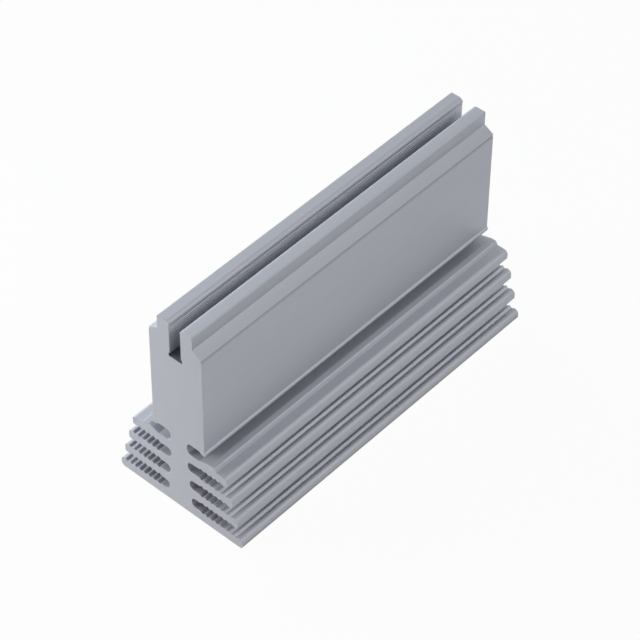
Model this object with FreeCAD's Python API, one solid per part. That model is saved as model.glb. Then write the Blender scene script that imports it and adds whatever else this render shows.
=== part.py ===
import FreeCAD, Part
import math
import os

# Heat sink extruded as one straight aluminium profile and sawn to length.
# Millimetres. X runs across the section, Y along the extrusion, Z up.
# The origin is the middle of the underside.

# Overall
length = 100.0
height = 60.0
base_width = 39.0

# Fins: the base plate is the lowest, and each one above it is shorter
fin_levels = 3
base_thickness = 3.0
fin_thickness = 2.95
top_fin_thickness = 2.8
fin_gap = 2.95
tip_step = 1.54
tip_top_radius = 1.2
tip_bottom_radius = 0.6
base_edge_radius = 1.1

# Web between the two banks of fins, thicker at the base
web_foot_width = 7.0
web_head_width = 5.1
web_corner_radius = 1.3

# Grooves along both faces of each gap, spaced inwards from each fin's tip
groove_to_tip = 2.05
groove_pitch = 1.5
groove_width = 1.2
groove_flank_deg = 42.0
groove_root_radius = 0.3
plain_root_x = 6.2

# Raised rim on the top fin
rim_x = 11.6
rim_lean = 0.5
rim_rise = 1.0
rim_flat = 1.5
rim_foot_x = 6.4
rim_radius = 0.4
rim_knee_radius = 1.5

# Mounting block with a drip lip along its lower edges
block_width = 16.0
block_bottom = 24.0
lip_drop = 0.6
lip_width = 1.6
lip_bulge = 0.35
lip_height = 1.15
lip_flare = 0.45
lip_radius = 0.3

# Jaws either side of the clip slot
jaw_width = 10.6
jaw_height = 3.9
shoulder_height = 1.5
jaw_edge_radius = 0.3
shoulder_radius = 0.3

# Fine score line along the block, close under each shoulder
score_drop = 0.5
score_width = 0.55
score_depth = 0.5

# Clip slot, toothed on both walls, with an undercut at the bottom
slot_width = 3.2
slot_depth = 10.6
mouth_radius = 1.1
undercut_width = 4.1
undercut_height = 1.2
undercut_radius = 0.25
tooth_pitch = 0.68
tooth_depth = 0.25
tooth_margin = 0.05


class Outline:
    """Corners of the right half of the section, each with the radius that rounds it."""

    def __init__(self):
        self.corners = []

    def add(self, x, z, radius=0.0):
        self.corners.append((x, z, radius))

    def mirrored(self):
        """The whole closed outline: this half, then its mirror image back to the start."""
        left = [(-x, z, radius) for x, z, radius in reversed(self.corners) if x > 0.0]
        return self.corners + left


def level_floor(level):
    """Underside of a fin; level 0 is the base plate."""
    return base_thickness + level * fin_gap + (level - 1) * fin_thickness if level else 0.0


def level_top(level):
    thickness = top_fin_thickness if level == fin_levels else fin_thickness
    return level_floor(level) + thickness if level else base_thickness


def tip_x(level):
    return base_width / 2 - level * tip_step


def web_half(level):
    """Half the web's thickness at the root of the gap above a fin."""
    share = level / (fin_levels - 1) if level < fin_levels else 1.0
    return (web_foot_width + share * (web_head_width - web_foot_width)) / 2


def groove_centres(tip):
    """Places of a fin's grooves, from the tip in to the plain metal by the web."""
    outermost = tip - groove_to_tip
    count = math.floor((outermost - plain_root_x) / groove_pitch) + 1
    return [outermost - i * groove_pitch for i in range(count)]


def add_grooves(outline, centres, level_z, outward):
    """Round-bottomed grooves along a fin's face; outward is +1 towards the tip, -1 towards the web."""
    side = outward * groove_width / 2
    sharp_depth = side * math.tan(math.radians(groove_flank_deg))
    for x in centres:
        outline.add(x - side, level_z)
        outline.add(x, level_z + sharp_depth, groove_root_radius)
        outline.add(x + side, level_z)


def add_base_edge(outline):
    outline.add(tip_x(0), 0.0, base_edge_radius)
    outline.add(tip_x(0), base_thickness, tip_top_radius)


def add_gap(outline, level):
    """The gap above a fin: in along its floor, round the web, and out along its ceiling."""
    floor, ceiling = level_top(level), level_floor(level + 1)
    root = web_half(level)
    add_grooves(outline, groove_centres(tip_x(level)), floor, -1)
    outline.add(root, floor, web_corner_radius)
    outline.add(root, ceiling, web_corner_radius)
    add_grooves(outline, groove_centres(tip_x(level + 1))[::-1], ceiling, 1)


def add_fin_tip(outline, level):
    outline.add(tip_x(level), level_floor(level), tip_bottom_radius)
    outline.add(tip_x(level), level_top(level), tip_top_radius)


def add_rim(outline):
    """The top fin's face steps up to a flat rim, then slopes back down towards the web."""
    top = level_top(fin_levels)
    crest = top + rim_rise
    outline.add(rim_x, top)
    outline.add(rim_x - rim_lean, crest, rim_radius)
    outline.add(rim_x - rim_lean - rim_flat, crest, rim_knee_radius)
    outline.add(rim_foot_x, top, rim_radius)


def add_block_underside(outline):
    """The plain groove between the top fin and the block, out to the lip."""
    root = web_half(fin_levels)
    half = block_width / 2
    lip_foot = block_bottom - lip_drop
    outline.add(root, level_top(fin_levels), web_corner_radius)
    outline.add(root, block_bottom, web_corner_radius)
    outline.add(half - lip_width, block_bottom)
    outline.add(half - lip_width / 2, lip_foot, lip_radius)
    outline.add(half + lip_bulge, lip_foot, lip_radius)
    outline.add(half + lip_bulge, lip_foot + lip_height - lip_flare, lip_radius)
    outline.add(half, lip_foot + lip_height)


def add_jaw(outline):
    """Up the block's side past its score line, over the shoulder, and to the jaw's top."""
    side = block_width / 2
    jaw_foot = height - jaw_height
    shoulder = jaw_foot - shoulder_height
    score = shoulder - score_drop
    outline.add(side, score - score_width / 2)
    outline.add(side - score_depth, score)
    outline.add(side, score + score_width / 2)
    outline.add(side, shoulder, shoulder_radius)
    outline.add(jaw_width / 2, jaw_foot)
    outline.add(jaw_width / 2, height, jaw_edge_radius)


def add_slot(outline):
    """Over the rounded mouth, down the slot's wall past its teeth, and into the undercut."""
    wall = slot_width / 2
    mouth_foot = height - mouth_radius
    floor = height - slot_depth
    undercut_top = floor + undercut_height
    count = math.floor((mouth_foot - undercut_top - 2 * tooth_margin) / tooth_pitch)
    outline.add(wall, height, mouth_radius)
    for i in range(count):
        top = mouth_foot - tooth_margin - i * tooth_pitch
        outline.add(wall, top)
        outline.add(wall + tooth_depth, top - tooth_pitch / 2)
        outline.add(wall, top - tooth_pitch)
    outline.add(wall, undercut_top)
    outline.add(undercut_width / 2, undercut_top, undercut_radius)
    outline.add(undercut_width / 2, floor, undercut_radius)


def section_outline():
    outline = Outline()
    add_base_edge(outline)
    for level in range(fin_levels):
        add_gap(outline, level)
        add_fin_tip(outline, level + 1)
    add_rim(outline)
    add_block_underside(outline)
    add_jaw(outline)
    add_slot(outline)
    return without_repeats(outline.mirrored())


def without_repeats(corners):
    """Drops a corner that lies on the one before it."""
    kept = []
    for corner in corners:
        if not kept or math.dist(corner[:2], kept[-1][:2]) > 1e-6:
            kept.append(corner)
    return kept


def rounded_edges(corners):
    """Lines and tangent arcs round a closed run of corners."""
    points = [FreeCAD.Vector(x, 0, z) for x, z, radius in corners]
    count = len(points)
    starts, ends, arcs = [], [], []
    for i, (x, z, radius) in enumerate(corners):
        back = (points[i - 1] - points[i]).normalize()
        on = (points[(i + 1) % count] - points[i]).normalize()
        half_angle = back.getAngle(on) / 2
        reach = radius / math.tan(half_angle)
        starts.append(points[i] + back * reach)
        ends.append(points[i] + on * reach)
        if radius:
            inward = (back + on).normalize()
            middle = points[i] + inward * (radius / math.sin(half_angle) - radius)
            arcs.append(Part.Arc(starts[i], middle, ends[i]).toShape())
        else:
            arcs.append(None)
    edges = []
    for i in range(count):
        if arcs[i]:
            edges.append(arcs[i])
        following = starts[(i + 1) % count]
        if ends[i].distanceToPoint(following) > 1e-6:
            edges.append(Part.LineSegment(ends[i], following).toShape())
    return edges


def heat_sink():
    wire = Part.Wire(rounded_edges(section_outline()))
    profile = Part.Face(wire)
    profile.translate(FreeCAD.Vector(0, -length / 2, 0))
    return profile.extrude(FreeCAD.Vector(0, length, 0))


os.makedirs("parts", exist_ok=True)
shape = heat_sink()
shape.exportStep("parts/heat_sink.step")
print("volume cm3", round(shape.Volume / 1000, 2), "box", shape.BoundBox, "valid", shape.isValid())
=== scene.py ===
import math

import bpy
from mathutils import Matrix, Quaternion, Vector

# Heat sink cut from an extruded aluminium profile, photographed from above one end.
# Metres, in the frame of the CAD model: X across the section, Y along it, Z up.

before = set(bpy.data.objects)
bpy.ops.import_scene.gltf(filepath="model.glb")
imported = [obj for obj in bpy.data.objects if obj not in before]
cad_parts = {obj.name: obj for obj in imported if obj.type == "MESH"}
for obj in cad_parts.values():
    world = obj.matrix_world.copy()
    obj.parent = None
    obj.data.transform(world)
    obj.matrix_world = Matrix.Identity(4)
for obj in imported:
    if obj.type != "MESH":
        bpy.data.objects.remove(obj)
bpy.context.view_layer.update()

MM = 0.001
WHITE = (1.0, 1.0, 1.0)

# Camera
CAMERA_PLACE = Vector((308.3, -350.7, 502.8)) * MM
CAMERA_AIM = Vector((-1.8, 0.0, 22.9)) * MM
CAMERA_ROLL = math.radians(0.6)
CAMERA_LENS_MM = 159.4
CAMERA_SENSOR_MM = 36.0
CAMERA_CLIP_START = 10.0 * MM

# Room
FLOOR_SIZE = 6.0
FLOOR_DROP = 0.05 * MM
FLOOR_COLOUR = (0.90, 0.90, 0.90)
FLOOR_WHITENESS = 0.96
SKY_COLOUR = (0.90, 1.0, 1.12)
SKY_STRENGTH = 0.02

# Softboxes: azimuth from +X and elevation in degrees, distance and width in metres, watts, colour
SOFTBOXES = {
    "low_left_softbox": (180, 15, 1.0, 0.6, 3.0, (0.84, 1.0, 1.19)),
    "high_left_softbox": (180, 40, 1.0, 0.6, 2.4, (0.84, 1.0, 1.16)),
    "right_softbox": (0, 50, 1.0, 0.6, 2.6, (0.96, 1.0, 1.06)),
    "back_softbox": (36, 27, 1.0, 0.6, 0.75, (0.96, 1.0, 1.08)),
    "near_softbox": (-140, 13, 0.3, 0.15, 0.46, (1.02, 1.0, 1.0)),
}
SOFTBOX_AIM = Vector((0.0, 0.0, 30.0)) * MM

# Aluminium: tones are shares of its colour, and each pair is low and high
SKIN_COLOUR = (0.572, 0.577, 0.617)
STREAK_TONES = (0.985, 1.015)
SAWN_TONES = (0.97, 1.03)
DULL_COLOUR = (0.52, 0.53, 0.51)
METALLIC = 0.25
SKIN_ROUGHNESS = (0.41, 0.50)
SAWN_ROUGHNESS = (0.56, 0.64)
CLOUD_ROUGHNESS = (-0.03, 0.03)

# Noise patterns: cells in a metre, detail, and a scale along Y that stretches them along the part
FINE_LINES = (5200.0, 3.0, 0.004)
BROAD_LINES = (620.0, 2.0, 0.01)
CLOUDS = (90.0, 3.0, 0.35)
GRAIN = (9000.0, 2.0, 1.0)
SAW_ARCS = (2600.0, 3.0, 1.0)
# The middle of the saw's blade, which its arcs run round
BLADE_CENTRE = Vector((-20.0, 0.0, -160.0)) * MM

# Relief: the depth of a bump, and how much of it each pattern takes
RELIEF_DEPTH = 0.02 * MM
RELIEF_STRENGTH = 0.25
FINE_LINE_RELIEF = 0.5
BROAD_LINE_RELIEF = 0.3
SAW_ARC_RELIEF = 0.8
GRAIN_RELIEF = 0.4

# Edges, seen a little rounded and rubbed bright
EDGE_RADIUS = 0.08 * MM
EDGE_COLOUR = (0.70, 0.71, 0.72)
EDGE_SHARE = 0.3
EDGE_POLISH = 0.08

# Ranges that are carried to 0 and 1, or to the last two numbers where there are four
USUAL_NOISE = (0.3, 0.7)
SAWN_TURN = (0.6, 0.8)
EDGE_TURN = (0.995, 0.90)
EDGE_CLOUDS = (0.3, 0.6, 0.35, 1.0)
DULL_CLOUDS = (0.35, 0.65, 0.0, 0.12)

# Where painted light and shade on the section begin to show and where they are full, from the middle plane
# or up
SLOT_SIDE = (2.3 * MM, 2.2 * MM)
SLOT_BOTTOM = (49.1 * MM, 49.3 * MM)
TEETH_TOP = (58.9 * MM, 58.85 * MM)
TOOTH_DEPTH = (1.62 * MM, 1.82 * MM)
SLOT_FLOOR_SHADE_TOP = (50.8 * MM, 50.0 * MM)
BLOCK_SIDE = (7.0 * MM, 7.2 * MM)
SCORE_HEIGHT = 53.95 * MM
SCORE_REACH = (0.75 * MM, 0.1 * MM)
FOOT_TOP = (2.0 * MM, 0.8 * MM)

# Tones of the painted light: a tooth from a painted highlight on its crest to painted shade in its root,
# then the painted shade
TOOTH_HIGHLIGHT_AND_SHADE_TONES = (1.30, 0.55)
PAINTED_SHADE_COLOUR = (0.36, 0.35, 0.36)
SLOT_FLOOR_SHADE_TONE = 0.5
SLOT_FLOOR_SHADE_SHARE = 0.8
SCORE_SHADE_SHARE = 0.6
FOOT_SHADOW_TONE = 0.6
FOOT_SHADOW_SHARE = 0.8


class Value:
    """A number that varies over a surface; arithmetic on it adds Math nodes."""

    def __init__(self, shader, socket):
        self.shader = shader
        self.socket = socket

    def math(self, operation, *others):
        inputs = dict(enumerate((self, *others)))
        return self.shader.node("ShaderNodeMath", {"operation": operation}, inputs)

    def __add__(self, other):
        return self.math("ADD", other)

    def __sub__(self, other):
        return self.math("SUBTRACT", other)

    def __rsub__(self, other):
        return self.shader.node("ShaderNodeMath", {"operation": "SUBTRACT"}, {0: other, 1: self})

    def __mul__(self, other):
        return self.math("MULTIPLY", other)

    def __abs__(self):
        return self.math("ABSOLUTE")

    __radd__ = __add__
    __rmul__ = __mul__

    def spread(self, low, high, to_low=0.0, to_high=1.0):
        """This value carried from one range to another, and held at its ends."""
        inputs = {"Value": self, "From Min": low, "From Max": high, "To Min": to_low, "To Max": to_high}
        return self.shader.node("ShaderNodeMapRange", {"clamp": True}, inputs)


class Shader:
    """The node tree of a material or world, with one method that adds its nodes."""

    def __init__(self, owner):
        owner.use_nodes = True
        self.tree = owner.node_tree
        self.tree.nodes.clear()

    def node(self, kind, settings=None, inputs=None, output=0):
        """Adds a node, sets it up, then fills its inputs, and gives one of its outputs."""
        node = self.tree.nodes.new(kind)
        for name, setting in (settings or {}).items():
            setattr(node, name, setting)
        for key, given in (inputs or {}).items():
            socket = node.inputs[key]
            if isinstance(given, Value):
                self.tree.links.new(given.socket, socket)
            else:
                socket.default_value = given
        return Value(self, node.outputs[output])

    def vector(self, operation, *given, output=0):
        return self.node("ShaderNodeVectorMath", {"operation": operation}, dict(enumerate(given)), output)

    def axis(self, name, vector):
        return self.node("ShaderNodeSeparateXYZ", None, {0: vector}, name)

    def mix_colour(self, factor, first, second):
        """Mixes two colours, which the Mix node takes at its sockets 6 and 7 and gives at 2."""
        inputs = {0: factor, 6: opaque(first), 7: opaque(second)}
        return self.node("ShaderNodeMix", {"data_type": "RGBA"}, inputs, 2)

    def mix_tones(self, factor, colour, tones):
        low, high = tones
        return self.mix_colour(factor, dimmed(colour, low), dimmed(colour, high))

    def mix_shader(self, factor, first, second):
        return self.node("ShaderNodeMixShader", None, {0: factor, 1: first, 2: second})

    def noise(self, place, cells, detail, along):
        """Smooth noise from 0 to 1 over a place that is scaled along Y."""
        stretched = self.vector("MULTIPLY", place, (1.0, along, 1.0))
        return self.node("ShaderNodeTexNoise", None, {"Vector": stretched, "Scale": cells, "Detail": detail})

    def finish(self, kind, surface):
        self.tree.links.new(surface.socket, self.tree.nodes.new(kind).inputs["Surface"])


def opaque(colour):
    return colour if isinstance(colour, Value) else (*colour, 1.0)


def dimmed(colour, factor):
    return tuple(channel * factor for channel in colour)


def saw_arcs(shader, place):
    """Shallow arcs that the blade leaves across an end."""
    from_blade = shader.vector("SUBTRACT", place, BLADE_CENTRE)
    radius = shader.vector("LENGTH", shader.vector("MULTIPLY", from_blade, (1.0, 0.0, 1.0)), output=1)
    return shader.noise(shader.node("ShaderNodeCombineXYZ", None, {0: radius}), *SAW_ARCS)


def worn_edges(shader, facing, edge_facing, clouds):
    """1 where an edge is rubbed most, and 0 on flat metal."""
    flatness = shader.vector("DOT_PRODUCT", edge_facing, facing, output=1)
    return flatness.spread(*EDGE_TURN) * clouds.spread(*EDGE_CLOUDS)


def with_painted_light(shader, skin, place):
    """The skin with painted highlight and shade on the slot's teeth, and painted shade on its floor, in the
    score line and at the foot.
    """
    across = abs(shader.axis("X", place))
    up = shader.axis("Z", place)

    in_slot = across.spread(*SLOT_SIDE) * up.spread(*SLOT_BOTTOM)
    # Painted highlight on each tooth's crest and painted shade in its root
    painted_tooth_light = shader.mix_tones(across.spread(*TOOTH_DEPTH), SKIN_COLOUR, TOOTH_HIGHLIGHT_AND_SHADE_TONES)
    skin = shader.mix_colour(in_slot * up.spread(*TEETH_TOP), skin, painted_tooth_light)

    # Painted shade darkening the bottom of the slot
    slot_floor_shade = in_slot * up.spread(*SLOT_FLOOR_SHADE_TOP) * SLOT_FLOOR_SHADE_SHARE
    skin = shader.mix_colour(slot_floor_shade, skin, dimmed(PAINTED_SHADE_COLOUR, SLOT_FLOOR_SHADE_TONE))

    # Painted shade along the score groove under the shoulder
    in_score = abs(up - SCORE_HEIGHT).spread(*SCORE_REACH) * across.spread(*BLOCK_SIDE)
    skin = shader.mix_colour(in_score * SCORE_SHADE_SHARE, skin, PAINTED_SHADE_COLOUR)

    # Painted contact shadow along the foot, darker towards the bottom
    foot_shadow = up.spread(*FOOT_TOP) * FOOT_SHADOW_SHARE
    return shader.mix_colour(foot_shadow, skin, dimmed(PAINTED_SHADE_COLOUR, FOOT_SHADOW_TONE))


def aluminium():
    """Drawn skin on the long faces, saw-cut metal on the two ends, bright worn edges."""
    material = bpy.data.materials.new("mill_aluminium")
    shader = Shader(material)
    place = shader.node("ShaderNodeTexCoord", None, None, "Object")
    facing = shader.node("ShaderNodeNewGeometry", None, None, "Normal")
    edge_facing = shader.node("ShaderNodeBevel", {"samples": 6}, {"Radius": EDGE_RADIUS})

    fine_lines = shader.noise(place, *FINE_LINES)
    broad_lines = shader.noise(place, *BROAD_LINES)
    clouds = shader.noise(place, *CLOUDS)
    grain = shader.noise(place, *GRAIN)
    arcs = saw_arcs(shader, place)

    # The two sawn ends face along Y, the drawn skin faces across it
    sawn = abs(shader.axis("Y", facing)).spread(*SAWN_TURN)
    drawn = 1.0 - sawn
    edge = worn_edges(shader, facing, edge_facing, clouds)

    skin = shader.mix_tones(broad_lines.spread(*USUAL_NOISE), SKIN_COLOUR, STREAK_TONES)
    skin = shader.mix_colour(clouds.spread(*DULL_CLOUDS), skin, DULL_COLOUR)
    # Painted highlight and shade on the slot's teeth, and painted shade on the slot floor, in the score line
    # and at the foot
    skin = with_painted_light(shader, skin, place)
    cut = shader.mix_tones(arcs.spread(*USUAL_NOISE), SKIN_COLOUR, SAWN_TONES)
    colour = shader.mix_colour(sawn, skin, cut)
    colour = shader.mix_colour(edge * EDGE_SHARE, colour, EDGE_COLOUR)

    skin_roughness = fine_lines.spread(*USUAL_NOISE, *SKIN_ROUGHNESS)
    skin_roughness = skin_roughness + clouds.spread(*USUAL_NOISE, *CLOUD_ROUGHNESS)
    sawn_roughness = grain.spread(*USUAL_NOISE, *SAWN_ROUGHNESS)
    roughness = sawn * sawn_roughness + drawn * skin_roughness - edge * EDGE_POLISH

    drawn_relief = fine_lines * FINE_LINE_RELIEF + broad_lines * BROAD_LINE_RELIEF
    sawn_relief = arcs * SAW_ARC_RELIEF + grain * GRAIN_RELIEF
    relief = {
        "Strength": RELIEF_STRENGTH,
        "Distance": RELIEF_DEPTH,
        "Height": drawn * drawn_relief + sawn * sawn_relief,
        "Normal": edge_facing,
    }
    metal = {
        "Base Color": colour,
        "Metallic": METALLIC,
        "Roughness": roughness,
        "Normal": shader.node("ShaderNodeBump", None, relief),
    }
    shader.finish("ShaderNodeOutputMaterial", shader.node("ShaderNodeBsdfPrincipled", None, metal))
    return material


def seen_directly(shader):
    """1 for what the camera sees itself, or in gloss, or through glass."""
    camera = shader.node("ShaderNodeLightPath", None, None, "Is Camera Ray")
    glossy = shader.node("ShaderNodeLightPath", None, None, "Is Glossy Ray")
    through = shader.node("ShaderNodeLightPath", None, None, "Is Transmission Ray")
    return camera.math("MAXIMUM", glossy).math("MAXIMUM", through)


def white_floor():
    """Pale matt paper that looks white and keeps a faint shadow."""
    material = bpy.data.materials.new("pale_paper")
    shader = Shader(material)
    paper = shader.node("ShaderNodeBsdfDiffuse", None, {"Color": opaque(FLOOR_COLOUR)})
    glow = shader.node("ShaderNodeEmission", None, {"Color": opaque(WHITE), "Strength": 1.0})
    surface = shader.mix_shader(seen_directly(shader) * FLOOR_WHITENESS, paper, glow)
    shader.finish("ShaderNodeOutputMaterial", surface)
    return material


def add_floor():
    half = FLOOR_SIZE / 2
    corners = [(x * half, y * half, -FLOOR_DROP) for x, y in ((-1, -1), (1, -1), (1, 1), (-1, 1))]
    mesh = bpy.data.meshes.new("floor")
    mesh.from_pydata(corners, [], [(0, 1, 2, 3)])
    mesh.materials.append(white_floor())
    floor = bpy.data.objects.new("floor", mesh)
    bpy.context.scene.collection.objects.link(floor)


def add_sky():
    """White where it is seen, and faint everywhere else."""
    world = bpy.data.worlds.new("studio")
    bpy.context.scene.world = world
    sky = Shader(world)
    light = sky.node("ShaderNodeBackground", None, {"Color": opaque(SKY_COLOUR), "Strength": SKY_STRENGTH})
    white = sky.node("ShaderNodeBackground", None, {"Color": opaque(WHITE), "Strength": 1.0})
    sky.finish("ShaderNodeOutputWorld", sky.mix_shader(seen_directly(sky), light, white))


def add_softbox(name, azimuth_deg, elevation_deg, distance, width, power, colour):
    lamp = bpy.data.lights.new(name, "AREA")
    lamp.size = width
    lamp.energy = power
    lamp.color = colour
    softbox = bpy.data.objects.new(name, lamp)
    azimuth, elevation = math.radians(azimuth_deg), math.radians(elevation_deg)
    level = math.cos(elevation)
    outward = Vector((level * math.cos(azimuth), level * math.sin(azimuth), math.sin(elevation)))
    softbox.location = SOFTBOX_AIM + distance * outward
    softbox.rotation_euler = looking(softbox.location, SOFTBOX_AIM).to_euler()
    bpy.context.scene.collection.objects.link(softbox)


def looking(place, aim):
    return (aim - place).to_track_quat("-Z", "Y")


def add_camera():
    lens = bpy.data.cameras.new("camera")
    lens.sensor_width = CAMERA_SENSOR_MM
    lens.lens = CAMERA_LENS_MM
    lens.clip_start = CAMERA_CLIP_START
    camera = bpy.data.objects.new("camera", lens)
    camera.location = CAMERA_PLACE
    roll = Quaternion((0.0, 0.0, 1.0), CAMERA_ROLL)
    camera.rotation_euler = (looking(CAMERA_PLACE, CAMERA_AIM) @ roll).to_euler()
    bpy.context.scene.collection.objects.link(camera)
    bpy.context.scene.camera = camera


heat_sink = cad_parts["heat_sink"]
heat_sink.material_slots[0].material = aluminium()

bpy.context.scene.view_settings.view_transform = "Standard"
add_floor()
add_sky()
for name, softbox in SOFTBOXES.items():
    add_softbox(name, *softbox)
add_camera()
